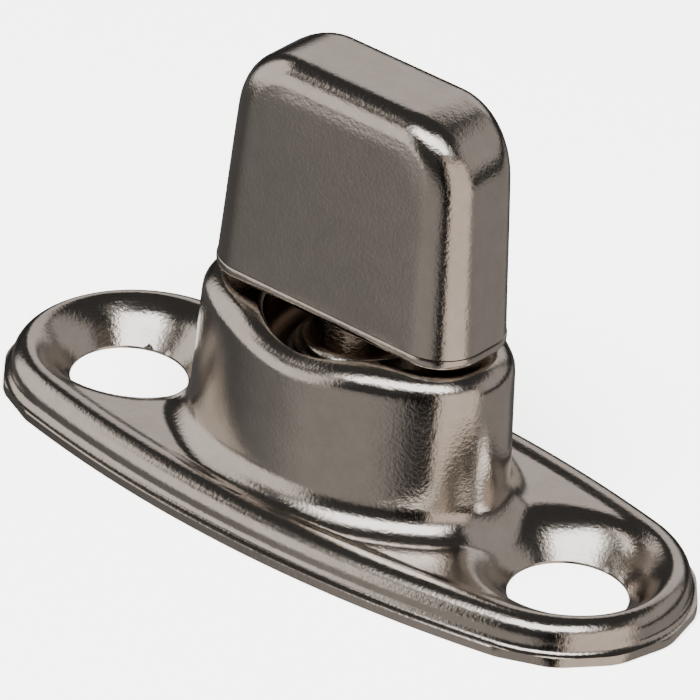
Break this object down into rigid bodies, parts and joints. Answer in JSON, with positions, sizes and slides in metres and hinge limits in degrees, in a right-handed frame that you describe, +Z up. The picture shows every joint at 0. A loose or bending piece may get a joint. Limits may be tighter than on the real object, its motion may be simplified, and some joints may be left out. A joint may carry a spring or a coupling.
{
  "type": "turn button fastener",
  "caption": "Turn button on an oval pressed base with dished screw holes; a sprung, hollow oblong head lifts and turns above an oval turret to hold an eyelet.",
  "frame": {"origin": "centre of the base's underside, on the spindle's axis", "axes": "+X along the base through both screw holes, +Z up along the spindle towards the head"},
  "size_m": [0.038, 0.016, 0.0217],
  "materials": {
    "base_nickel": "nickel plate over pressed brass, bright with a fine orange-peel",
    "head_nickel": "nickel plate over drawn brass, bright with a fine orange-peel",
    "spindle_nickel": "nickel plate over turned brass",
    "steel": "plain stamped steel washers",
    "spring_steel": "drawn spring wire",
    "bare_brass": "unplated stamped brass"
  },
  "bodies": {
    "base": {"base_shell": "base_nickel", "wear_washer": "steel", "upper_seat": "steel", "spring": "spring_steel"},
    "lift": {"lower_cup": "steel"},
    "head": {"keeper_washer": "bare_brass", "spindle": "spindle_nickel", "sole_plate": "head_nickel", "head_cap": "head_nickel"}
  },
  "joints": [
    {"name": "head_lift", "type": "slide", "parent": "base", "child": "lift", "axis": [0, 0, 1], "range_m": [0, 0.001], "stiffness_N_per_m": 2500, "springref_m": -0.0015, "deforming": ["spring"]},
    {"name": "head_turn", "type": "hinge", "parent": "lift", "child": "head", "pos_m": [0, 0, 0], "axis": [0, 0, 1], "continuous": true}
  ]
}
